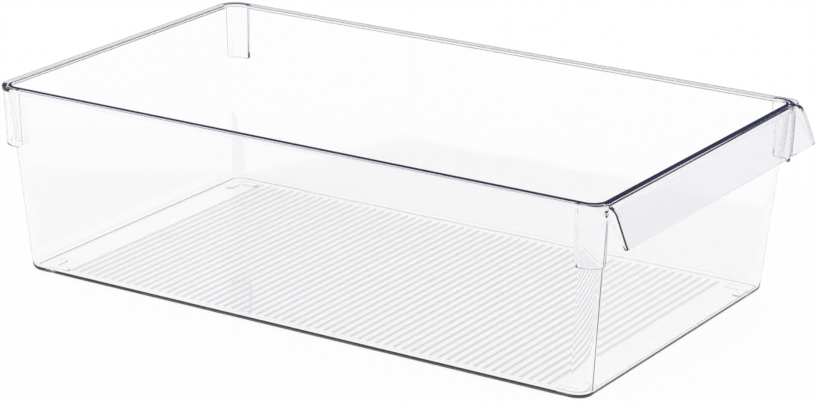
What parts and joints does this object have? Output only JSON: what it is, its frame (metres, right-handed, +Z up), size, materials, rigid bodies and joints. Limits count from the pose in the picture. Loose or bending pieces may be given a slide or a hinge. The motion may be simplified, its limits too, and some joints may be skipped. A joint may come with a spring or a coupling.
{
  "type": "storage bin",
  "caption": "Clear plastic fridge bin: open tapered tub, flat rim, bent lip handle in front, curved corner lugs under the rim, ribbed floor on low bent feet.",
  "frame": {"origin": "on the shelf, under the middle of the box that holds the whole bin, handle included", "axes": "+X to the right as seen from the handle's side, +Y from the handle to the back, +Z up"},
  "size_m": [0.205, 0.363, 0.1],
  "materials": {
    "clear_plastic": "polished"
  },
  "bodies": {
    "root": {"ribbed_floor": "clear_plastic", "wall_shell": "clear_plastic", "rim_flange": "clear_plastic", "front_handle_lip": "clear_plastic", "handle_end_left": "clear_plastic", "handle_end_right": "clear_plastic", "corner_lug_front_left": "clear_plastic", "corner_lug_front_right": "clear_plastic", "corner_lug_back_left": "clear_plastic", "corner_lug_back_right": "clear_plastic", "foot_front_left": "clear_plastic", "foot_front_right": "clear_plastic", "foot_back_left": "clear_plastic", "foot_back_right": "clear_plastic"}
  },
  "joints": []
}
